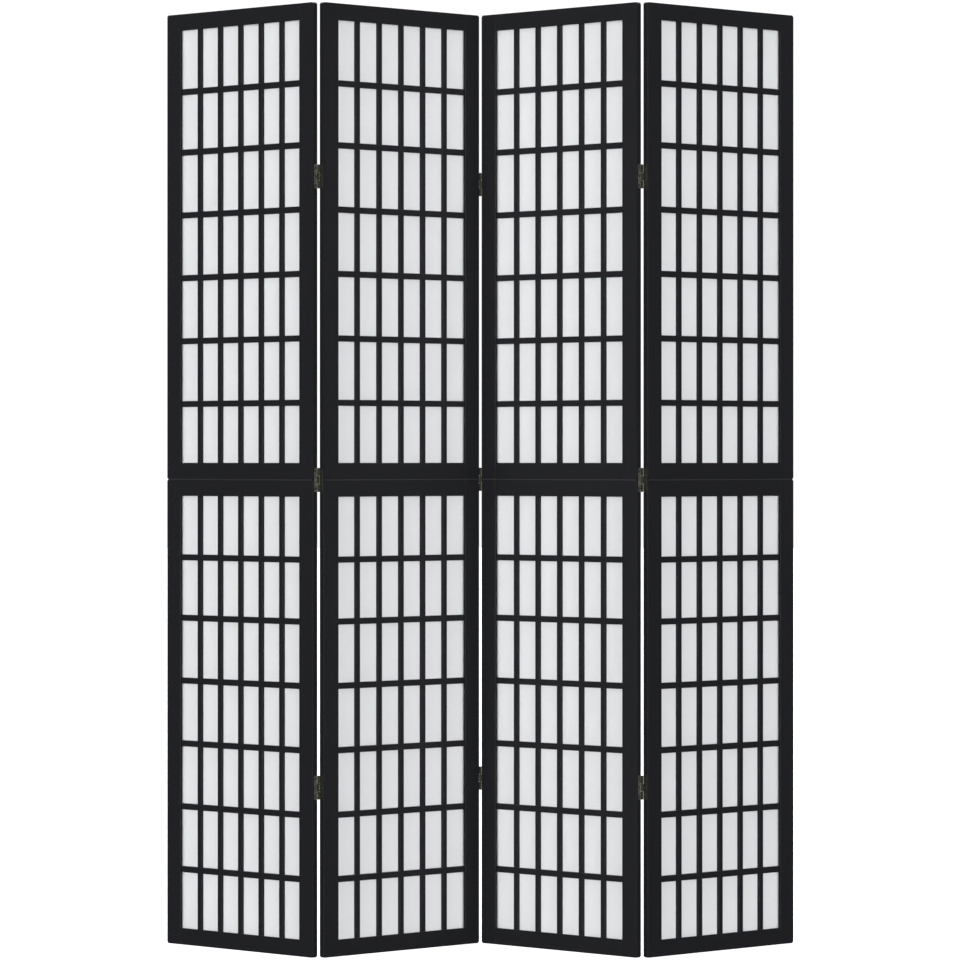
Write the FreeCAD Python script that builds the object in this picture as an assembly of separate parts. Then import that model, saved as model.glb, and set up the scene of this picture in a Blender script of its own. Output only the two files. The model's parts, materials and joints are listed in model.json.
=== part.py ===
import FreeCAD, Part
import math
import os

# Four-panel shoji folding screen, standing in its zigzag. Millimetres, +Z up, +X to the right
# seen from the front, +Y away from the viewer. The origin is on the floor, in the middle of
# the standing screen's footprint.

# ---------------------------------------------------------------- driving dimensions

PANEL_COUNT = 4
PANEL_WIDTH = 400.0
PANEL_HEIGHT = 1800.0
FRAME_THICKNESS = 12.0
FOLD_ANGLE = 43.0            # each panel's angle to the line of the screen as it stands

STILE_WIDTH = 37.0
RAIL_HEIGHT = 32.0
CORNER_EASE = 3.0            # taken off the outer corners of each frame, across the stiles' ends
COLUMNS = 6
VERTICAL_BAR_WIDTH = 9.7
CROSS_BAR_HEIGHT = 11.6
# upper edge of each cross bar, measured down from the top of its own frame
CROSS_BAR_DROPS = (145.0, 262.0, 383.5, 505.0, 627.0, 748.5)

FRONT_LIP = 2.0              # wood left in front of the lattice
LATTICE_DEPTH = 6.5
SHEET_THICKNESS = 0.4
REBATE_WIDTH = 4.0           # how far the lattice and the sheet go in behind the lip

TENON_THICKNESS = 4.0
TENON_HEIGHT = 18.0
TENON_LENGTH = 20.0
SEAM_TENON_SIZE = (36.0, 4.0, 24.0)
SEAM_TENON_INSET = 110.0     # from each edge of the panel to the middle of a seam tenon

HINGE_HEIGHT = 45.0
HINGE_HEIGHTS = (320.0, 900.0, 1472.0)
LEAF_THICKNESS = 1.0
LEAF_REACH = 8.75            # how far a leaf covers the panel's edge, from the face at the barrel
LEAF_GAIN = 0.6              # how deep a leaf is let into the edge
PIVOT_OUT = 1.75             # pin axis to the panel's edge
PIVOT_OFF = 1.25             # pin axis to the panel's face
PIN_RADIUS = 1.3
RUNNING_CLEARANCE = 0.05
KNUCKLE_FLATS = 10
BORE_FLATS = 6
KNUCKLE_GAP = 0.3
KNUCKLE_CLEARANCE = 0.1      # between a leaf's plate and the other leaf's knuckles
GAIN_CLEARANCE = 0.3

# ---------------------------------------------------------------- worked out from them

FRAME_HEIGHT = PANEL_HEIGHT / 2
LATTICE_BACK = FRONT_LIP + LATTICE_DEPTH
LAP_DEPTH = FRONT_LIP + LATTICE_DEPTH / 2
REBATE_INSET_X = STILE_WIDTH - REBATE_WIDTH
REBATE_INSET_Z = RAIL_HEIGHT - REBATE_WIDTH
BARREL_RADIUS = PIN_RADIUS + RUNNING_CLEARANCE + LEAF_THICKNESS
KNUCKLE_CORNER = BARREL_RADIUS / math.cos(math.pi / KNUCKLE_FLATS)
TENON_FRONT = (FRONT_LIP + FRAME_THICKNESS - TENON_THICKNESS) / 2


def box(u0, u1, v0, v1, z0, z1):
    return Part.makeBox(u1 - u0, v1 - v0, z1 - z0, FreeCAD.Vector(u0, v0, z0))


def cut_all(shape, tools):
    return shape.cut(Part.Compound(tools)) if tools else shape


def rod(radius, flats, low, high):
    """A round made of flats on the Z axis, one of them square to X; radius is out to the flats."""
    corner = radius / math.cos(math.pi / flats)
    turns = [(2 * i + 1) * math.pi / flats for i in range(flats)]
    ring = [FreeCAD.Vector(corner * math.cos(a), corner * math.sin(a), low) for a in turns]
    face = Part.Face(Part.makePolygon(ring + ring[:1]))
    return face.extrude(FreeCAD.Vector(0, 0, high - low))


# ---------------------------------------------------------------- where the panels stand


def turned(x, y, degrees):
    a = math.radians(degrees)
    return x * math.cos(a) - y * math.sin(a), x * math.sin(a) + y * math.cos(a)


def panel_places():
    """Where each panel's front lower left corner stands, and its turn about Z.

    The middle fold's pin is in front of the panels and the two outer folds' pins are behind
    them, so the panels fold like an accordion.
    """
    lowest_y = PIVOT_OFF * math.cos(math.radians(FOLD_ANGLE))
    lowest_y -= (PANEL_WIDTH + PIVOT_OUT) * math.sin(math.radians(FOLD_ANGLE))
    depth = turned(PANEL_WIDTH, FRAME_THICKNESS, FOLD_ANGLE)[1]
    pin_x, pin_y = 0.0, -(lowest_y + depth / 2)
    right_end = PANEL_WIDTH + PIVOT_OUT
    behind = FRAME_THICKNESS + PIVOT_OFF
    places = {}

    def corner_from_pin(pin, local, turn):
        dx, dy = turned(local[0], local[1], turn)
        return pin[0] - dx, pin[1] - dy, turn

    def pin_of(place, local):
        dx, dy = turned(local[0], local[1], place[2])
        return place[0] + dx, place[1] + dy

    places[2] = corner_from_pin((pin_x, pin_y), (right_end, -PIVOT_OFF), FOLD_ANGLE)
    places[3] = corner_from_pin((pin_x, pin_y), (-PIVOT_OUT, -PIVOT_OFF), -FOLD_ANGLE)
    left_pin = pin_of(places[2], (-PIVOT_OUT, behind))
    right_pin = pin_of(places[3], (right_end, behind))
    places[1] = corner_from_pin(left_pin, (right_end, behind), -FOLD_ANGLE)
    places[4] = corner_from_pin(right_pin, (-PIVOT_OUT, behind), FOLD_ANGLE)
    pins = {"fold_1_2": left_pin, "fold_2_3": (pin_x, pin_y), "fold_3_4": right_pin}
    return places, pins


PLACES, PINS = panel_places()


def stand(shapes, panel):
    """Solids drawn in a panel's own frame (x across it, y into it, z up), put where it stands."""
    x, y, turn = PLACES[panel]
    group = Part.Compound(shapes)
    group.Placement = FreeCAD.Placement(
        FreeCAD.Vector(x, y, 0), FreeCAD.Rotation(FreeCAD.Vector(0, 0, 1), turn)
    )
    return group


# ---------------------------------------------------------------- hinges


class Edge:
    """One edge of a panel at a fold: which end it is, and which face the barrel stands off."""

    def __init__(self, fold, panel, right_end, barrel_behind, carries_pin):
        self.fold = fold
        self.panel = panel
        self.right_end = right_end
        self.barrel_behind = barrel_behind
        self.carries_pin = carries_pin

    def place(self, shape):
        """From the pin's frame (x into the panel, y across its edge) to the panel's frame."""
        if self.right_end:
            shape = shape.mirror(FreeCAD.Vector(0, 0, 0), FreeCAD.Vector(1, 0, 0))
        if self.barrel_behind:
            shape = shape.mirror(FreeCAD.Vector(0, 0, 0), FreeCAD.Vector(0, 1, 0))
        x = PANEL_WIDTH + PIVOT_OUT if self.right_end else -PIVOT_OUT
        y = FRAME_THICKNESS + PIVOT_OFF if self.barrel_behind else -PIVOT_OFF
        return shape.translated(FreeCAD.Vector(x, y, 0))


EDGES = (
    Edge("fold_1_2", 1, True, True, False),
    Edge("fold_1_2", 2, False, True, True),
    Edge("fold_2_3", 2, True, False, True),
    Edge("fold_2_3", 3, False, False, False),
    Edge("fold_3_4", 3, True, True, True),
    Edge("fold_3_4", 4, False, True, False),
)


def knuckle_spans(carries_pin):
    """The heights of one leaf's knuckles, and of the spaces it leaves for the other leaf's."""
    third = HINGE_HEIGHT / 3
    gap = KNUCKLE_GAP / 2
    ends = [(0, third - gap), (2 * third + gap, HINGE_HEIGHT)]
    middle = [(third + gap, 2 * third - gap)]
    if carries_pin:
        return ends, [(third - gap, 2 * third + gap)]
    return middle, [(0, third + gap), (2 * third - gap, HINGE_HEIGHT)]


def hinge_leaf(carries_pin):
    """A leaf with its rolled knuckles, pin axis on Z, plate along +Y, foot at z = 0."""
    inner = BARREL_RADIUS - LEAF_THICKNESS
    plate = box(inner, BARREL_RADIUS, 0, PIVOT_OFF + LEAF_REACH, 0, HINGE_HEIGHT)
    own, others = knuckle_spans(carries_pin)
    swept = KNUCKLE_CORNER + KNUCKLE_CLEARANCE
    notch = math.sqrt(swept**2 - inner**2)
    leaf = cut_all(plate, [box(inner, swept, 0, notch, low, high) for low, high in others])
    for low, high in own:
        leaf = leaf.fuse(rod(BARREL_RADIUS, KNUCKLE_FLATS, low, high))
        leaf = leaf.cut(rod(inner, BORE_FLATS, low, high))
    return leaf.removeSplitter()


def hinge_leaves(edge):
    leaf = edge.place(hinge_leaf(edge.carries_pin))
    foot = -HINGE_HEIGHT / 2
    return [leaf.translated(FreeCAD.Vector(0, 0, z + foot)) for z in HINGE_HEIGHTS]


def hinge_pins(fold):
    x, y = PINS[fold]
    feet = [FreeCAD.Vector(x, y, z - HINGE_HEIGHT / 2) for z in HINGE_HEIGHTS]
    return [Part.makeCylinder(PIN_RADIUS, HINGE_HEIGHT, foot) for foot in feet]


def hinge_gains(panel):
    """The shallow recesses in a panel's edges that the hinge leaves are let into."""
    bottom = PIVOT_OUT + LEAF_GAIN
    reach = PIVOT_OFF + LEAF_REACH
    tall = HINGE_HEIGHT / 2 + GAIN_CLEARANCE
    recess = box(0, bottom, 0, reach, -tall, tall)
    gains = []
    for edge in EDGES:
        if edge.panel == panel:
            placed = edge.place(recess)
            gains += [placed.translated(FreeCAD.Vector(0, 0, z)) for z in HINGE_HEIGHTS]
    return gains


# ---------------------------------------------------------------- one frame of a panel


def seam_tenons():
    """Loose tenons that key the upper frame of a panel to its lower frame."""
    width, depth, height = SEAM_TENON_SIZE
    front = (FRAME_THICKNESS - depth) / 2
    seam = FRAME_HEIGHT
    return [
        box(x - width / 2, x + width / 2, front, front + depth, seam - height / 2, seam + height / 2)
        for x in (SEAM_TENON_INSET, PANEL_WIDTH - SEAM_TENON_INSET)
    ]


def rail_tenon(left_end, foot):
    """A rail's tenon, from its shoulder into the stile; foot is the rail's lower edge."""
    low = foot + (RAIL_HEIGHT - TENON_HEIGHT) / 2
    back = TENON_FRONT + TENON_THICKNESS
    if left_end:
        tip = REBATE_INSET_X - TENON_LENGTH
        return box(tip, REBATE_INSET_X, TENON_FRONT, back, low, low + TENON_HEIGHT)
    shoulder = PANEL_WIDTH - REBATE_INSET_X
    return box(shoulder, shoulder + TENON_LENGTH, TENON_FRONT, back, low, low + TENON_HEIGHT)


def rail_feet(frame_foot):
    return frame_foot, frame_foot + FRAME_HEIGHT - RAIL_HEIGHT


def eased_corners(stile, outer_x):
    """A stile with the corners at its ends taken off on the outer side."""
    across = [edge for edge in stile.Edges if abs(edge.CenterOfMass.y - FRAME_THICKNESS / 2) < 1]
    outer = [edge for edge in across if abs(edge.CenterOfMass.x - outer_x) < 1]
    return stile.makeChamfer(CORNER_EASE, outer)


def stiles(panel, frame_foot):
    """Left and right stile: rebated at the back, mortised for the rails, let in for hinges."""
    top = frame_foot + FRAME_HEIGHT
    gains = hinge_gains(panel)
    pieces = []
    for left_end in (True, False):
        x0 = 0 if left_end else PANEL_WIDTH - STILE_WIDTH
        rebate_x = REBATE_INSET_X if left_end else PANEL_WIDTH - STILE_WIDTH
        stile = box(x0, x0 + STILE_WIDTH, 0, FRAME_THICKNESS, frame_foot, top)
        rebate = box(rebate_x, rebate_x + REBATE_WIDTH, FRONT_LIP, FRAME_THICKNESS, frame_foot, top)
        mortises = [rail_tenon(left_end, foot) for foot in rail_feet(frame_foot)]
        blank = eased_corners(stile, 0 if left_end else PANEL_WIDTH)
        pieces.append(cut_all(blank, [rebate] + mortises + gains))
    return pieces


def rails(frame_foot):
    """Top and bottom rail: a short shoulder in front, a long one behind, and two tenons."""
    feet = rail_feet(frame_foot)
    pieces = []
    for foot, at_bottom in ((feet[0], True), (feet[1], False)):
        front = box(STILE_WIDTH, PANEL_WIDTH - STILE_WIDTH, 0, FRONT_LIP, foot, foot + RAIL_HEIGHT)
        low = foot if at_bottom else foot + REBATE_WIDTH
        back = box(
            REBATE_INSET_X, PANEL_WIDTH - REBATE_INSET_X, FRONT_LIP, FRAME_THICKNESS,
            low, low + REBATE_INSET_Z,
        )
        rail = front.multiFuse([back, rail_tenon(True, foot), rail_tenon(False, foot)])
        pieces.append(cut_all(rail.removeSplitter(), seam_tenons()))
    return pieces


# ---------------------------------------------------------------- the lattice


def vertical_bar_lefts():
    """Left edge of each vertical bar: they share out the opening in equal columns."""
    opening = PANEL_WIDTH - 2 * STILE_WIDTH
    column = (opening - (COLUMNS - 1) * VERTICAL_BAR_WIDTH) / COLUMNS
    pitch = column + VERTICAL_BAR_WIDTH
    return [STILE_WIDTH + column + i * pitch for i in range(COLUMNS - 1)]


def cross_bar_feet(frame_foot):
    top = frame_foot + FRAME_HEIGHT
    return [top - drop - CROSS_BAR_HEIGHT for drop in CROSS_BAR_DROPS]


def vertical_bars(frame_foot):
    """Bars halved from the front, so the cross bars lap over them flush."""
    foot = frame_foot + REBATE_INSET_Z
    top = frame_foot + FRAME_HEIGHT - REBATE_INSET_Z
    laps = [
        box(0, PANEL_WIDTH, 0, LAP_DEPTH, z, z + CROSS_BAR_HEIGHT) for z in cross_bar_feet(frame_foot)
    ]
    return [
        cut_all(box(x, x + VERTICAL_BAR_WIDTH, FRONT_LIP, LATTICE_BACK, foot, top), laps)
        for x in vertical_bar_lefts()
    ]


def cross_bars(frame_foot):
    """Bars halved from the back, over the vertical bars."""
    left = REBATE_INSET_X
    right = PANEL_WIDTH - REBATE_INSET_X
    laps = [
        box(x, x + VERTICAL_BAR_WIDTH, LAP_DEPTH, FRAME_THICKNESS, 0, PANEL_HEIGHT)
        for x in vertical_bar_lefts()
    ]
    return [
        cut_all(box(left, right, FRONT_LIP, LATTICE_BACK, z, z + CROSS_BAR_HEIGHT), laps)
        for z in cross_bar_feet(frame_foot)
    ]


def sheet(frame_foot):
    """The translucent sheet, stretched over the back of the lattice inside the rebate."""
    return [
        box(
            REBATE_INSET_X, PANEL_WIDTH - REBATE_INSET_X,
            LATTICE_BACK, LATTICE_BACK + SHEET_THICKNESS,
            frame_foot + REBATE_INSET_Z, frame_foot + FRAME_HEIGHT - REBATE_INSET_Z,
        )
    ]


# ---------------------------------------------------------------- the whole screen


def screen_nodes():
    nodes = {}
    for panel in range(1, PANEL_COUNT + 1):
        for level, foot in (("lower", 0.0), ("upper", FRAME_HEIGHT)):
            frame = f"panel_{panel}_{level}"
            nodes[f"{frame}_stiles"] = stand(stiles(panel, foot), panel)
            nodes[f"{frame}_rails"] = stand(rails(foot), panel)
            nodes[f"{frame}_vertical_bars"] = stand(vertical_bars(foot), panel)
            nodes[f"{frame}_cross_bars"] = stand(cross_bars(foot), panel)
            nodes[f"{frame}_sheet"] = stand(sheet(foot), panel)
        nodes[f"panel_{panel}_seam_tenons"] = stand(seam_tenons(), panel)
    for edge in EDGES:
        name = f"{edge.fold}_hinge_leaves_panel_{edge.panel}"
        nodes[name] = stand(hinge_leaves(edge), edge.panel)
    for fold in PINS:
        nodes[f"{fold}_hinge_pins"] = Part.Compound(hinge_pins(fold))
    return nodes


os.makedirs("parts", exist_ok=True)
for node, shape in screen_nodes().items():
    shape.exportStep(f"parts/{node}.step")
for fold_name, (px, py) in PINS.items():
    print(f"{fold_name} pin at x = {px:.3f}, y = {py:.3f}")
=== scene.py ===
"""A four-panel shoji screen: lacquered frames, stretched sheets, butt hinges, plain studio."""

import json
import math
import random

import bmesh
import bpy
import numpy as np
from mathutils import Matrix, Vector

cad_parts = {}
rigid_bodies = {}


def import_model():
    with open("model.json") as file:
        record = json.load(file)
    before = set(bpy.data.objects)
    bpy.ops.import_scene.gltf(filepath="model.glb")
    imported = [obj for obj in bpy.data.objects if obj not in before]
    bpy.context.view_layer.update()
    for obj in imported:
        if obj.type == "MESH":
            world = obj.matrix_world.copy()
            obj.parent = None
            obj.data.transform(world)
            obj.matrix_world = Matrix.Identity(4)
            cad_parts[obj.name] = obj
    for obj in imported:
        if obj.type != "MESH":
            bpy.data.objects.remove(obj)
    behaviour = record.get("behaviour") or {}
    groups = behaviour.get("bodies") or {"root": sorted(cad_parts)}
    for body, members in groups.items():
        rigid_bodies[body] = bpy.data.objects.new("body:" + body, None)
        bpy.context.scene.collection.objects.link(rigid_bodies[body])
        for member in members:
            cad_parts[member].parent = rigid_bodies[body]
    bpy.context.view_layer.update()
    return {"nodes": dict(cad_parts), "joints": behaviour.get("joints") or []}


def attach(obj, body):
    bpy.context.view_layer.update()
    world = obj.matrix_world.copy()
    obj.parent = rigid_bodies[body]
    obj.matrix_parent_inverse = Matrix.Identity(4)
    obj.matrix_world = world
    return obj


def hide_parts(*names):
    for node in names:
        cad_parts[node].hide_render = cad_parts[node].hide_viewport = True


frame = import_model()

MM = 0.001

# The screen as it stands: odd panels come forward to the right, even ones go back.
PANELS = (1, 2, 3, 4)
TIERS = ("lower", "upper")
FOLD_ANGLE = math.radians(43)

# How finely the pieces are shaped
SAME_POINT = 0.005 * MM
SHARP_ANGLE = math.radians(35)
ARRIS_STEPS = 2
TURNED_SIDES = 32
ROLL_STEPS = 26
CORNER_STEPS = 5
CELL_STEPS = (6, 8)

# Wood
ARRIS = 0.5 * MM
BAR_ARRIS = 0.3 * MM
SEAM_HEIGHT = 900 * MM
# How far the painted highlight along the seam reaches
PAINTED_HIGHLIGHT_REACH = 1.3 * MM
GRAIN_ACROSS = 420.0
GRAIN_ALONG = 9.0

# Sheets
SHEET_THICKNESS = 0.4 * MM
SHEET_SLACK = 0.35 * MM
LIGHT_THROUGH = 0.5
REBATE = 4 * MM

# Hinges, in the pin's own axes: s into the panel, w across its edge
HINGE_HEIGHT = 45 * MM
LEAF_THICKNESS = 1.0 * MM
BARREL_RADIUS = 2.35 * MM
BORE_RADIUS = 1.35 * MM
PIN_RADIUS = 1.3 * MM
PIN_DOME = 0.35 * MM
LEAF_EDGE = 10 * MM
LEAF_ROOT = 2.1 * MM
LEAF_CORNER = 1.4 * MM
KNUCKLE_GAP = 0.3 * MM
KNUCKLES = 3
ROLL_END = math.radians(303)
SCREW_ACROSS = 6.3 * MM
SCREW_SPACING = 16.6 * MM
HOLE_CLEARANCE = 0.15 * MM
# How far the barrel's painted shade fades out onto the leaves
PAINTED_SHADE_REACH = 1.2 * MM
# From the rim to the middle: shares of the pin's radius, and of its dome's height
PIN_DOME_CURVE = ((1, 0), (0.92, 0.45), (0.65, 0.8), (0, 1))

# Hinge screws
HEAD_RADIUS = 2.2 * MM
SHANK_RADIUS = 1.15 * MM
# From the middle to the rim: shares of the head's radius, and heights
HEAD_CURVE = ((0, 0.16 * MM), (0.5, 0.13 * MM), (0.85, 0.05 * MM), (1, -0.06 * MM))
HEAD_RIM = -0.14 * MM
SCREW_LENGTH = 14 * MM
PLAIN_SHANK = 1.2 * MM
THREAD_PITCH = 1.0 * MM
THREAD_CORE = 0.75 * SHANK_RADIUS
DRIVEN_SEED = 7
RECESS_LONG = 0.62 * HEAD_RADIUS
RECESS_WIDE = 0.14 * HEAD_RADIUS
RECESS_DEPTH = 0.9 * MM
RECESS_TAPER = 0.55

# A node's points are sorted into bars, or into hinges, where they lie further apart than this
BETWEEN_BARS = 20 * MM
BETWEEN_HINGES = 4 * HINGE_HEIGHT

# Colours, dark and light where there are two
LACQUER = ((0.0100, 0.0105, 0.0125, 1), (0.0160, 0.0165, 0.0190, 1))
# Painted highlight: the lighter colour of the line along the seam, standing in for light caught by
# its eased edges
PAINTED_SEAM_HIGHLIGHT = (0.040, 0.0405, 0.0435, 1)
FIBRE = ((0.826, 0.837, 0.846, 1), (0.928, 0.934, 0.940, 1))
SHEET_GLOW = (0.878, 0.881, 0.884, 1)
BRONZE = ((0.0125, 0.0130, 0.0090, 1), (0.047, 0.047, 0.040, 1))
# Painted shade: the darker colour of the hinge barrel, which sits in shade between the leaves
PAINTED_BARREL_SHADE = (0.0090, 0.0095, 0.0050, 1)
STEEL = ((0.018, 0.018, 0.016, 1), (0.075, 0.072, 0.062, 1))
HARDWOOD = ((0.46, 0.32, 0.19, 1), (0.63, 0.48, 0.31, 1))
FLOOR_PAINT = ((0.90, 0.90, 0.90, 1), (0.93, 0.93, 0.93, 1))
WHITE = (1.0, 1.0, 1.0, 1)

# Studio
CAMERA_PLACE = (-0.7 * MM, -8.967, 0.942)
CAMERA_LENS = 175.8
CAMERA_SHIFT = -0.0233
CAMERA_REACH = 200.0
FLOOR_REACH = 40.0
FLOOR_GLOW = 0.9
AMBIENT = (0.16, 0.162, 0.169, 1)
BACKDROP_WHITE = (1.06, 1.06, 1.06, 1)
# Azimuth, elevation, strength and spread. Azimuth 0 is the viewer's side, and 90 the right.
LIGHTS = {
    "left light": (-37, 3, 2.4, 24),
    "right light": (34, 3, 2.1, 24),
    "back light": (178, 12, 3.4, 60),
    "ceiling light": (0, 90, 0.7, 120),
}
HINGE_LIGHT = (38, 12, 8.0, 12)


# ---------------------------------------------------------------- reading the frame


def turn_of(panel):
    """How far a panel is turned from the screen's own line."""
    return -FOLD_ANGLE if panel % 2 else FOLD_ANGLE


def panel_axes(panel):
    """A panel's own axes: across its width, through its thickness, up."""
    return Matrix.Rotation(turn_of(panel), 4, "Z")


def in_panel(node, panel):
    """A node's vertices in its panel's own axes."""
    back = np.array(panel_axes(panel).inverted().to_3x3())
    vertices = [vertex.co for vertex in frame["nodes"][node].data.vertices]
    return np.array(vertices) @ back.T


def spans(values, gap):
    """The stretches that values fall into, where stretches lie more than gap apart."""
    values = np.sort(values)
    breaks = np.flatnonzero(np.diff(values) > gap)
    starts = np.concatenate(([values[0]], values[breaks + 1]))
    ends = np.concatenate((values[breaks], [values[-1]]))
    return list(zip(starts, ends))


# ---------------------------------------------------------------- shader arithmetic


class Wire:
    """A shader value that plain arithmetic works on."""

    def __init__(self, finish, socket):
        self.finish = finish
        self.socket = socket

    def math(self, operation, *values):
        return self.finish.add("Math", {"operation": operation}, dict(enumerate(values)))

    def __add__(self, other):
        return self.math("ADD", self, other)

    def __radd__(self, other):
        return self.math("ADD", other, self)

    def __sub__(self, other):
        return self.math("SUBTRACT", self, other)

    def __rsub__(self, other):
        return self.math("SUBTRACT", other, self)

    def __mul__(self, other):
        return self.math("MULTIPLY", self, other)

    def __rmul__(self, other):
        return self.math("MULTIPLY", other, self)

    def __abs__(self):
        return self.math("ABSOLUTE", self)


class Finish:
    """A tree of shader nodes, for a material or for the studio's world."""

    def __init__(self, owner):
        owner.use_nodes = True
        self.owner = owner
        self.tree = owner.node_tree
        self.tree.nodes.clear()

    def add(self, kind, settings=(), sockets=(), output=0):
        """Adds a node: its settings first, then a value or a link for each socket."""
        node = self.tree.nodes.new("ShaderNode" + kind)
        for setting, value in dict(settings).items():
            setattr(node, setting, value)
        for socket, value in dict(sockets).items():
            if isinstance(value, Wire):
                self.tree.links.new(value.socket, node.inputs[socket])
            else:
                node.inputs[socket].default_value = value
        return Wire(self, node.outputs[output]) if node.outputs else None

    def mix(self, share, first, second):
        """One colour going over into another."""
        settings = {"data_type": "RGBA"}
        return self.add("Mix", settings, {0: share, 6: first, 7: second}, output=2)

    def clamp(self, value, low, high):
        """value eased over from 0 at low to 1 at high, and held there."""
        sockets = {"Value": value, "From Min": low, "From Max": high}
        return self.add("MapRange", {"interpolation_type": "SMOOTHSTEP"}, sockets)

    def along(self, turn, density=(1.0, 1.0, 1.0)):
        """The piece's own coordinates, turned to its panel and stretched by density."""
        place = self.add("TexCoord", output=3)
        turned = self.add(
            "VectorRotate", {"rotation_type": "Z_AXIS"}, {"Vector": place, "Angle": -turn}
        )
        return self.add("VectorMath", {"operation": "MULTIPLY"}, {0: turned, 1: density})

    def height(self):
        """How high up the screen a point is."""
        place = self.add("TexCoord", output=3)
        return self.add("SeparateXYZ", {}, {"Vector": place}, output=2)

    def noise(self, place, scale, detail=3.0, roughness=0.5, distortion=0.0):
        sockets = {
            "Vector": place,
            "Scale": scale,
            "Detail": detail,
            "Roughness": roughness,
            "Distortion": distortion,
        }
        return self.add("TexNoise", {}, sockets)

    def bump(self, height, distance, strength):
        sockets = {"Height": height, "Distance": distance, "Strength": strength}
        return self.add("Bump", {}, sockets)

    def surface(self, shader):
        """The material, with shader as its surface."""
        self.add("OutputMaterial", {}, {"Surface": shader})
        return self.owner

    def coat(self, sockets):
        """The material, with one coat of these settings as its surface."""
        return self.surface(self.add("BsdfPrincipled", {}, sockets))


def new_finish(name):
    return Finish(bpy.data.materials.new(name))


# ---------------------------------------------------------------- finishes


def black_lacquer(name, turn, upright):
    """Satin black lacquer over softwood, whose grain runs up the piece or across it.

    Along the seam between a panel's two frames, a thin lighter line is painted on as a highlight.
    """
    finish = new_finish(name)
    fine, long = GRAIN_ACROSS, GRAIN_ALONG
    grain_place = finish.along(turn, (fine, fine, long) if upright else (long, fine, fine))
    cloud_place = finish.along(turn)
    grain = finish.noise(grain_place, 1.0, detail=4.0, roughness=0.6, distortion=0.4)
    pores = finish.clamp(finish.noise(grain_place, 3.1, detail=2.0), 0.62, 0.74)
    cloud = finish.noise(cloud_place, 14.0, detail=2.0)
    orange_peel = finish.noise(cloud_place, 900.0, detail=1.0)
    lacquer = finish.mix(grain, *LACQUER)
    # Painted highlight: a thin, ragged lighter line along the seam, standing in for light caught by
    # the eased edges
    from_seam = abs(finish.height() - SEAM_HEIGHT)
    ragged = finish.noise(cloud_place, 60.0, detail=4.0, roughness=0.7)
    painted_highlight = (1.0 - finish.clamp(from_seam, 0.3 * PAINTED_HIGHLIGHT_REACH, PAINTED_HIGHLIGHT_REACH)) * (0.5 + ragged)
    colour = finish.mix(painted_highlight, lacquer, PAINTED_SEAM_HIGHLIGHT)
    height = 0.6 * grain - 0.5 * pores + 0.12 * orange_peel
    sockets = {
        "Base Color": colour,
        "Roughness": 0.42 + 0.10 * cloud + 0.10 * pores,
        "Normal": finish.bump(height, 0.08 * MM, 0.8),
        "Specular IOR Level": 0.14,
    }
    return finish.coat(sockets)


def pressed_fibre(name, turn):
    """Matt white sheet of pressed fibres, which lets some light through."""
    finish = new_finish(name)
    place = finish.along(turn)
    wander = finish.noise(place, 55.0, detail=3.0, distortion=1.2)
    second = finish.noise(finish.along(turn, (1.3, 1.0, 0.8)), 90.0, detail=2.0, distortion=2.0)
    strands = 1.0 - finish.clamp(abs(wander - 0.5), 0.0, 0.012)
    threads = 1.0 - finish.clamp(abs(second - 0.47), 0.0, 0.010)
    cloud = finish.noise(place, 18.0, detail=3.0)
    tooth = finish.noise(place, 1500.0, detail=2.0)
    fibres = strands * 0.6 + threads * 0.4
    normal = finish.bump(0.5 * fibres + 0.3 * tooth, 0.08 * MM, 0.8)
    sockets = {
        "Base Color": finish.mix(0.35 * cloud + 0.4 * fibres, *FIBRE),
        "Roughness": 0.80 + 0.1 * cloud,
        "Normal": normal,
        "Specular IOR Level": 0.15,
    }
    front = finish.add("BsdfPrincipled", {}, sockets)
    through = finish.add("BsdfTranslucent", {}, {"Color": SHEET_GLOW, "Normal": normal})
    return finish.surface(finish.add("MixShader", {}, {0: LIGHT_THROUGH, 1: front, 2: through}))


def antique_bronze(name, pin):
    """Dark bronze plating, rubbed a little brighter on the leaves, with painted shade darkening the
    barrel.
    """
    finish = new_finish(name)
    place = finish.along(0.0)
    flat_place = finish.along(0.0, (1.0, 1.0, 0.0))
    patina = finish.noise(place, 320.0, detail=4.0, roughness=0.6)
    speckle = finish.noise(place, 1900.0, detail=2.0)
    brushed = finish.noise(finish.along(0.0, (2600.0, 2600.0, 120.0)), 1.0, detail=2.0)
    measured = {0: flat_place, 1: pin}
    from_pin = finish.add("VectorMath", {"operation": "DISTANCE"}, measured, output=1)
    # Painted shade: the barrel is coloured darker, fading out over a short reach onto the leaves
    plate = finish.clamp(from_pin, BARREL_RADIUS, BARREL_RADIUS + PAINTED_SHADE_REACH)
    rubbed = finish.clamp(patina, 0.46, 0.68) * plate
    plating = finish.mix(rubbed, *BRONZE)
    colour = finish.mix(plate, PAINTED_BARREL_SHADE, plating)
    sockets = {
        "Base Color": colour,
        "Metallic": 0.25 * rubbed,
        "Roughness": 0.85 - 0.25 * plate - 0.12 * rubbed + 0.05 * speckle,
        "Normal": finish.bump(0.5 * brushed + 0.5 * speckle, 0.02 * MM, 0.5),
        "Specular IOR Level": 0.12,
    }
    return finish.coat(sockets)


def blackened_steel(name):
    """The screws: oxide-black steel, a little brighter where a driver has turned them."""
    finish = new_finish(name)
    place = finish.along(0.0)
    scuffs = finish.clamp(finish.noise(place, 900.0, detail=3.0), 0.55, 0.72)
    sockets = {
        "Base Color": finish.mix(scuffs, *STEEL),
        "Metallic": 0.5 + 0.4 * scuffs,
        "Roughness": 0.5 - 0.15 * scuffs,
        "Normal": finish.bump(scuffs, 0.02 * MM, 0.4),
    }
    return finish.coat(sockets)


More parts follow.
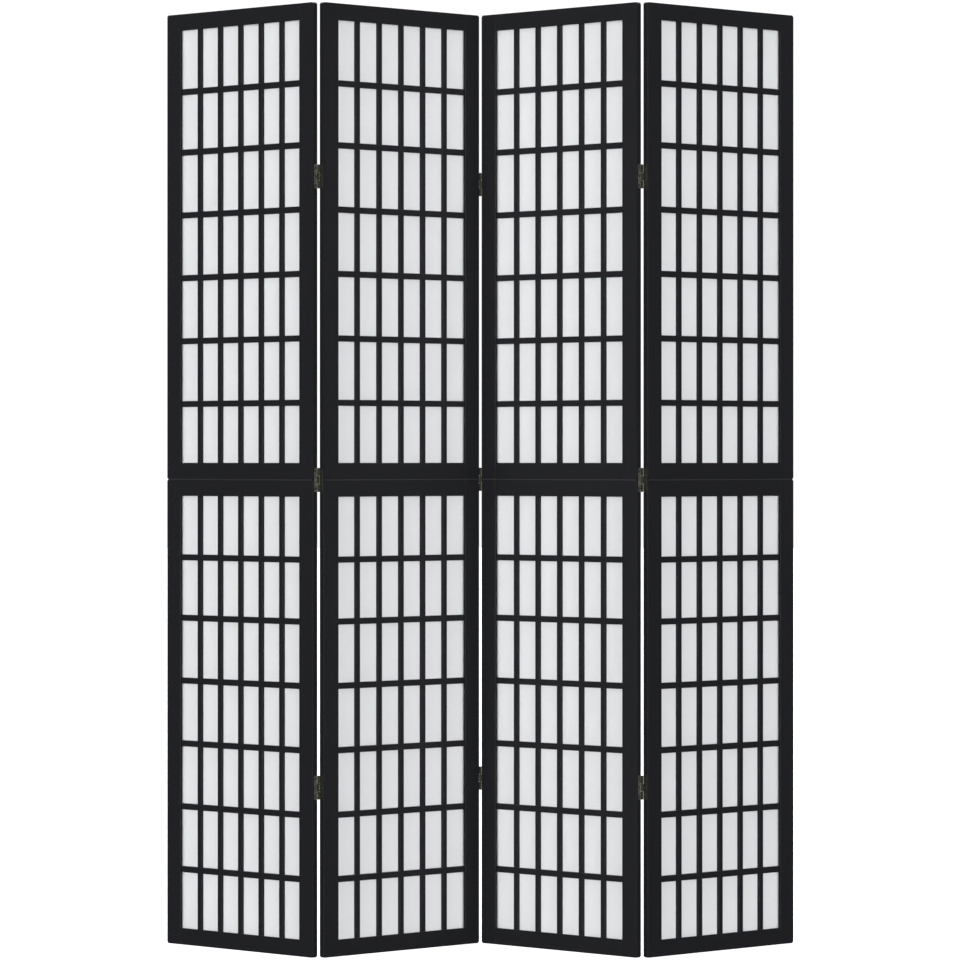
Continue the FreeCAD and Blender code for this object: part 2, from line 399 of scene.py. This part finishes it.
def bare_hardwood(name, turn):
    """The loose tenons: planed hardwood, left bare."""
    finish = new_finish(name)
    grain = finish.noise(finish.along(turn, (500.0, 500.0, 14.0)), 1.0, detail=4.0)
    sockets = {
        "Base Color": finish.mix(grain, *HARDWOOD),
        "Roughness": 0.55 + 0.15 * grain,
        "Normal": finish.bump(grain, 0.05 * MM, 0.6),
    }
    return finish.coat(sockets)


def studio_floor_paint(name):
    """Matt white paint with the faintest mottling, glowing a little so that no shadow shows."""
    finish = new_finish(name)
    mottle = finish.noise(finish.along(0.0), 3.0, detail=3.0)
    sockets = {
        "Base Color": finish.mix(mottle, *FLOOR_PAINT),
        "Roughness": 0.85 + 0.05 * mottle,
        "Specular IOR Level": 0.1,
        "Emission Color": WHITE,
        "Emission Strength": FLOOR_GLOW,
    }
    return finish.coat(sockets)


# ---------------------------------------------------------------- building pieces


def piece_from(name, points, faces, material):
    """A new piece from its points and faces, with one finish."""
    mesh = bpy.data.meshes.new(name)
    mesh.from_pydata([tuple(point) for point in points], [], faces)
    mesh.materials.append(material)
    mesh.validate()
    mesh.update()
    piece = bpy.data.objects.new(name, mesh)
    bpy.context.scene.collection.objects.link(piece)
    return piece


def ease_edges(piece, width):
    """Takes the sharpness off a piece's edges."""
    weld = piece.modifiers.new("joined corners", "WELD")
    weld.merge_threshold = SAME_POINT
    bevel = piece.modifiers.new("eased edges", "BEVEL")
    bevel.width = width
    bevel.segments = ARRIS_STEPS
    bevel.limit_method = "ANGLE"
    bevel.angle_limit = SHARP_ANGLE
    bevel.use_clamp_overlap = False
    normals = piece.modifiers.new("flat faces", "WEIGHTED_NORMAL")
    normals.keep_sharp = True


def wear(piece, material):
    """Gives a carried-over node its finish."""
    for slot in piece.material_slots:
        slot.material = material


def finish_wood():
    """Lacquers the frames and lattices, each with the grain along its own length."""
    for panel in PANELS:
        turn = turn_of(panel)
        upright = black_lacquer(f"black lacquer, upright grain, panel {panel}", turn, True)
        level = black_lacquer(f"black lacquer, level grain, panel {panel}", turn, False)
        for tier in TIERS:
            for part, material, arris in (
                ("stiles", upright, ARRIS),
                ("rails", level, ARRIS),
                ("vertical_bars", upright, BAR_ARRIS),
                ("cross_bars", level, BAR_ARRIS),
            ):
                node = frame["nodes"][f"panel_{panel}_{tier}_{part}"]
                wear(node, material)
                ease_edges(node, arris)
        tenons = frame["nodes"][f"panel_{panel}_seam_tenons"]
        wear(tenons, bare_hardwood(f"bare hardwood, panel {panel}", turn))
        ease_edges(tenons, ARRIS)


# ---------------------------------------------------------------- sheets


def grid_lines(low, high, supports, steps):
    """Lines across a sheet from low to high with how slack it is at each, 0 on a support."""
    lines = [(low, 0.0)]
    for (_, left), (right, _) in zip(supports, supports[1:]):
        for step in range(steps + 1):
            share = step / steps
            lines.append((left + (right - left) * share, math.sin(math.pi * share) ** 2))
    lines.append((high, 0.0))
    return lines


def stretched_sheet(panel, tier, material):
    """A sheet glued over the back of its lattice, a little slack in each cell."""
    name = f"panel_{panel}_{tier}"
    flat = in_panel(f"{name}_sheet", panel)
    (left, front, foot), (right, _, top) = flat.min(0), flat.max(0)
    uprights = in_panel(f"{name}_vertical_bars", panel)
    crosses = in_panel(f"{name}_cross_bars", panel)
    across = [(left, left + REBATE), *spans(uprights[:, 0], BETWEEN_BARS), (right - REBATE, right)]
    upward = [(foot, foot + REBATE), *spans(crosses[:, 2], BETWEEN_BARS), (top - REBATE, top)]
    columns = grid_lines(left, right, across, CELL_STEPS[0])
    rows = grid_lines(foot, top, upward, CELL_STEPS[1])
    place = panel_axes(panel)
    points = []
    for side in (0.0, SHEET_THICKNESS):
        for z, slack_up in rows:
            for u, slack_across in columns:
                depth = front + side + SHEET_SLACK * slack_up * slack_across
                points.append(place @ Vector((u, depth, z)))
    faces = []
    wide = len(columns)
    sheet = wide * len(rows)
    for row in range(len(rows) - 1):
        for column in range(wide - 1):
            corner = row * wide + column
            face = (corner, corner + 1, corner + wide + 1, corner + wide)
            faces.append(face)
            faces.append(tuple(index + sheet for index in reversed(face)))
    rim = list(range(wide))
    rim += [row * wide + wide - 1 for row in range(1, len(rows))]
    rim += [sheet - 1 - column for column in range(1, wide)]
    rim += [row * wide for row in range(len(rows) - 2, 0, -1)]
    smooth = [True] * len(faces) + [False] * len(rim)
    for start, end in zip(rim, rim[1:] + rim[:1]):
        faces.append((end, start, start + sheet, end + sheet))
    piece = piece_from(f"{name}_stretched_sheet", points, faces, material)
    piece.data.polygons.foreach_set("use_smooth", smooth)
    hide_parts(f"{name}_sheet")
    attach(piece, f"panel_{panel}")


def make_sheets():
    for panel in PANELS:
        material = pressed_fibre(f"pressed fibre sheet, panel {panel}", turn_of(panel))
        for tier in TIERS:
            stretched_sheet(panel, tier, material)


# ---------------------------------------------------------------- hinges


def turned_solid(profile):
    """Points and faces of a profile of (radius, height), from end to end, turned about Z."""
    sides = TURNED_SIDES
    points, rings = [], []
    for radius, height in profile:
        if radius == 0:
            rings.append([len(points)] * sides)
            points.append(Vector((0, 0, height)))
            continue
        rings.append(range(len(points), len(points) + sides))
        for side in range(sides):
            angle = math.tau * side / sides
            points.append(Vector((radius * math.cos(angle), radius * math.sin(angle), height)))
    faces = []
    for lower, upper in zip(rings, rings[1:]):
        for side in range(sides):
            after = (side + 1) % sides
            corners = (lower[side], lower[after], upper[after], upper[side])
            faces.append(tuple(dict.fromkeys(corners)))
    return points, faces


def strip_solid(outer, inner, low, high):
    """Points and faces of a strip between two outlines in a level plane, from low to high."""
    points = []
    for (outer_s, outer_w), (inner_s, inner_w) in zip(outer, inner):
        points += [Vector((outer_s, outer_w, low)), Vector((outer_s, outer_w, high))]
        points += [Vector((inner_s, inner_w, high)), Vector((inner_s, inner_w, low))]
    faces = [(0, 1, 2, 3), tuple(len(points) - 4 + corner for corner in (3, 2, 1, 0))]
    for start in range(0, len(points) - 4, 4):
        for corner in range(4):
            after = (corner + 1) % 4
            faces.append((start + corner, start + 4 + corner, start + 4 + after, start + after))
    return points, faces


def pointing(direction, place):
    """Turns a solid made about Z to point along direction, and sets it at place."""
    turn = Vector(direction).to_track_quat("Z", "Y").to_matrix().to_4x4()
    return Matrix.Translation(place) @ turn


def rough_piece(solids):
    """A working piece of several solids, each with a matrix that places it."""
    points, faces = [], []
    for (solid_points, solid_faces), matrix in solids:
        start = len(points)
        points += [matrix @ point for point in solid_points]
        faces += [tuple(start + corner for corner in face) for face in solid_faces]
    mesh = bpy.data.meshes.new("rough")
    mesh.from_pydata([tuple(point) for point in points], [], faces)
    surface = bmesh.new()
    surface.from_mesh(mesh)
    bmesh.ops.recalc_face_normals(surface, faces=surface.faces)
    surface.to_mesh(mesh)
    surface.free()
    piece = bpy.data.objects.new("rough", mesh)
    bpy.context.scene.collection.objects.link(piece)
    return piece


def worked(body, tool, operation):
    """body joined to tool, or with tool cut away."""
    change = body.modifiers.new("work", "BOOLEAN")
    change.operation = operation
    change.solver = "EXACT"
    change.object = tool
    bpy.context.view_layer.update()
    seen = body.evaluated_get(bpy.context.evaluated_depsgraph_get())
    shape = bpy.data.meshes.new_from_object(seen)
    body.modifiers.clear()
    body.data = shape
    bpy.data.objects.remove(tool)
    return body


def taken_mesh(piece):
    """The mesh of a working piece, smooth where it curves, with the piece itself cleared away."""
    mesh = piece.data
    mesh.shade_smooth()
    mesh.set_sharp_from_angle(angle=SHARP_ANGLE)
    bpy.data.objects.remove(piece)
    return mesh


def knuckle_spans():
    """Where each knuckle lies up the barrel, from the hinge's middle."""
    half, pitch, gap = HINGE_HEIGHT / 2, HINGE_HEIGHT / KNUCKLES, KNUCKLE_GAP / 2
    lows = [-half] + [-half + index * pitch + gap for index in range(1, KNUCKLES)]
    highs = [-half + index * pitch - gap for index in range(1, KNUCKLES)] + [half]
    return list(zip(lows, highs))


def leaf_mesh(own_knuckles, screw_heights):
    """A pressed leaf: a plate with countersunk holes, its edge rolled into knuckles."""
    near, far = BORE_RADIUS, BARREL_RADIUS
    half = HINGE_HEIGHT / 2
    outline = [(LEAF_ROOT, half)]
    for step in range(CORNER_STEPS + 1):
        angle = math.pi / 2 * (1 - step / CORNER_STEPS)
        across = LEAF_EDGE - LEAF_CORNER + LEAF_CORNER * math.cos(angle)
        up = half - LEAF_CORNER + LEAF_CORNER * math.sin(angle)
        outline.append((across, up))
    outline += [(across, -up) for across, up in reversed(outline)]
    plate = [Vector((near, across, up)) for across, up in outline]
    plate += [Vector((far, across, up)) for across, up in outline]
    count = len(outline)
    faces = [tuple(range(count)), tuple(range(2 * count - 1, count - 1, -1))]
    for start in range(count):
        after = (start + 1) % count
        faces.append((after, start, start + count, after + count))
    leaf = rough_piece([((plate, faces), Matrix())])
    turns = [ROLL_END * step / ROLL_STEPS for step in range(ROLL_STEPS + 1)]
    root = LEAF_ROOT + LEAF_THICKNESS / 2
    outer = [(far, root)] + [(far * math.cos(turn), -far * math.sin(turn)) for turn in turns]
    inner = [(near, root)] + [(near * math.cos(turn), -near * math.sin(turn)) for turn in turns]
    rolls = []
    for index, (low, high) in enumerate(knuckle_spans()):
        if index in own_knuckles:
            rolls.append((strip_solid(outer, inner, low, high), Matrix()))
    worked(leaf, rough_piece(rolls), "UNION")
    clearance = HOLE_CLEARANCE
    sink = [
        (0, clearance),
        (HEAD_RADIUS + 2 * clearance, clearance),
        (SHANK_RADIUS + clearance, -HEAD_RADIUS + SHANK_RADIUS - clearance),
        (SHANK_RADIUS + clearance, -2 * LEAF_THICKNESS),
        (0, -2 * LEAF_THICKNESS),
    ]
    holes = []
    for height in screw_heights:
        place = pointing((-1, 0, 0), (near, SCREW_ACROSS, height))
        holes.append((turned_solid(sink), place))
    return taken_mesh(worked(leaf, rough_piece(holes), "DIFFERENCE"))


def recess_bar():
    """One bar of a cross recess, tapering downwards."""
    points = []
    for height, share in ((RECESS_DEPTH / 2, 1.0), (-RECESS_DEPTH, RECESS_TAPER)):
        for along, across in ((-1, -1), (1, -1), (1, 1), (-1, 1)):
            corner = (along * RECESS_LONG * share, across * RECESS_WIDE * share, height)
            points.append(Vector(corner))
    faces = [(0, 1, 2, 3), (7, 6, 5, 4)]
    faces += [(corner, corner + 4, (corner + 1) % 4 + 4, (corner + 1) % 4) for corner in range(4)]
    return points, faces


def screw_mesh():
    """A small countersunk wood screw with a cross recess, its head at the origin."""
    cone = HEAD_RADIUS - SHANK_RADIUS
    profile = [(share * HEAD_RADIUS, height) for share, height in HEAD_CURVE]
    profile += [(HEAD_RADIUS, HEAD_RIM), (SHANK_RADIUS, HEAD_RIM - cone)]
    depth = -cone - PLAIN_SHANK
    while depth > -SCREW_LENGTH + 2 * THREAD_PITCH:
        profile += [(THREAD_CORE, depth), (SHANK_RADIUS, depth - THREAD_PITCH / 2)]
        depth -= THREAD_PITCH
    profile += [(THREAD_CORE, depth), (0, -SCREW_LENGTH)]
    screw = rough_piece([(turned_solid(profile), Matrix())])
    for turn in (0, math.pi / 2):
        bar = rough_piece([(recess_bar(), Matrix.Rotation(turn, 4, "Z"))])
        worked(screw, bar, "DIFFERENCE")
    return taken_mesh(screw)


def pin_mesh():
    """A hinge pin with domed ends."""
    half = HINGE_HEIGHT / 2
    dome = [(share * PIN_RADIUS, half + rise * PIN_DOME) for share, rise in PIN_DOME_CURVE]
    profile = [(radius, -height) for radius, height in reversed(dome)] + dome
    return taken_mesh(rough_piece([(turned_solid(profile), Matrix())]))


def hinge_piece(name, parts, material, panel, node):
    """A hinge's piece of ready-made meshes, each set in place by its own matrix."""
    surface = bmesh.new()
    for mesh, matrix in parts:
        copy = mesh.copy()
        copy.transform(matrix)
        if matrix.is_negative:
            copy.flip_normals()
        surface.from_mesh(copy)
        bpy.data.meshes.remove(copy)
    mesh = bpy.data.meshes.new(name)
    surface.to_mesh(mesh)
    surface.free()
    mesh.materials.clear()
    mesh.materials.append(material)
    for polygon in mesh.polygons:
        polygon.material_index = 0
    piece = bpy.data.objects.new(name, mesh)
    bpy.context.scene.collection.objects.link(piece)
    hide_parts(node)
    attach(piece, f"panel_{panel}")
    return piece


def leaf_seat(place, panel, on_left, barrel_behind):
    """How a leaf made in the pin's own axes stands at place, against its panel's edge."""
    axes = panel_axes(panel).to_3x3()
    into = axes.col[0] * (-1 if on_left else 1)
    across = axes.col[1] * (-1 if barrel_behind else 1)
    turn = Matrix((into, across, Vector((0, 0, 1)))).transposed().to_4x4()
    return Matrix.Translation(place) @ turn


def make_hinges():
    """Three hinges to a fold, with their leaves, pins and screws; gives back the leaves."""
    steel = blackened_steel("blackened steel")
    drivers = random.Random(DRIVEN_SEED)
    end_knuckles, middle_knuckle = (0, 2), (1,)
    three_screws = (-SCREW_SPACING, 0.0, SCREW_SPACING)
    two_screws = (-SCREW_SPACING, SCREW_SPACING)
    screw = screw_mesh()
    pin = pin_mesh()
    shapes, leaves = {}, []
    for knuckles in (end_knuckles, middle_knuckle):
        for heights in (three_screws, two_screws):
            shapes[knuckles, heights] = leaf_mesh(knuckles, heights)
    for joint in frame["joints"]:
        fold = joint["name"]
        left = int(fold.split("_")[1])
        x, y, _ = joint["pos_m"]
        bronze = antique_bronze(f"antique bronze, {fold}", (x, y, 0))
        barrel_behind = y < 0
        pins = [vertex.co.z for vertex in frame["nodes"][f"{fold}_hinge_pins"].data.vertices]
        for level, (low, high) in zip(("low", "middle", "top"), spans(pins, BETWEEN_HINGES)):
            hinge = f"{fold}_{level}"
            place = Vector((x, y, (low + high) / 2))
            heights = two_screws if level == "middle" else three_screws
            for panel in (left, left + 1):
                carries_pin = joint["parent"] == f"panel_{panel}"
                seat = leaf_seat(place, panel, panel == left, barrel_behind)
                node = f"{fold}_hinge_leaves_panel_{panel}"
                knuckles = end_knuckles if carries_pin else middle_knuckle
                leaf = [(shapes[knuckles, heights], seat)]
                leaves.append(hinge_piece(f"{hinge}_leaf_panel_{panel}", leaf, bronze, panel, node))
                screws = []
                for height in heights:
                    stand = pointing((-1, 0, 0), (BORE_RADIUS, SCREW_ACROSS, height))
                    spin = Matrix.Rotation(drivers.uniform(0, math.tau), 4, "Z")
                    screws.append((screw, seat @ stand @ spin))
                hinge_piece(f"{hinge}_screws_panel_{panel}", screws, steel, panel, node)
                if carries_pin:
                    rod = [(pin, Matrix.Translation(place))]
                    hinge_piece(f"{hinge}_pin", rod, bronze, panel, f"{fold}_hinge_pins")
    return leaves


make_sheets()
finish_wood()
hinge_leaves = make_hinges()


# ---------------------------------------------------------------- studio


def make_floor():
    reach = FLOOR_REACH
    corners = [(-reach, -reach, 0), (reach, -reach, 0), (reach, reach, 0), (-reach, reach, 0)]
    floor = piece_from("studio_floor", corners, [(0, 1, 2, 3)], studio_floor_paint("floor paint"))
    floor.visible_diffuse = False
    floor.visible_glossy = False


def make_world():
    """White where it is seen, and a dim even light on what stands in it."""
    world = bpy.data.worlds.new("studio")
    bpy.context.scene.world = world
    finish = Finish(world)
    seen = finish.add("LightPath", output=0)
    colour = finish.mix(seen, AMBIENT, BACKDROP_WHITE)
    background = finish.add("Background", {}, {"Color": colour})
    finish.add("OutputWorld", {}, {"Surface": background})


def broad_light(name, azimuth, elevation, strength, spread, only=()):
    """A far, soft light on everything, or only on some pieces."""
    light = bpy.data.lights.new(name, "SUN")
    light.energy = strength
    light.angle = math.radians(spread)
    turn, tilt = math.radians(azimuth), math.radians(elevation)
    level = math.cos(tilt)
    towards = Vector((math.sin(turn) * level, -math.cos(turn) * level, math.sin(tilt)))
    lamp = bpy.data.objects.new(name, light)
    lamp.rotation_euler = towards.to_track_quat("Z", "Y").to_euler()
    bpy.context.scene.collection.objects.link(lamp)
    if only:
        lit = bpy.data.collections.new(name)
        for piece in only:
            lit.objects.link(piece)
        lamp.light_linking.receiver_collection = lit


def make_lights(leaves):
    for name, settings in LIGHTS.items():
        broad_light(name, *settings)
    broad_light("hinge light", *HINGE_LIGHT, only=leaves)


def make_camera():
    camera = bpy.data.objects.new("camera", bpy.data.cameras.new("camera"))
    camera.location = CAMERA_PLACE
    camera.rotation_euler = (math.radians(90), 0, 0)
    camera.data.lens = CAMERA_LENS
    camera.data.shift_y = CAMERA_SHIFT
    camera.data.clip_end = CAMERA_REACH
    bpy.context.scene.collection.objects.link(camera)
    bpy.context.scene.camera = camera


make_floor()
make_world()
make_lights(hinge_leaves)
make_camera()
bpy.context.scene.view_settings.view_transform = "Standard"
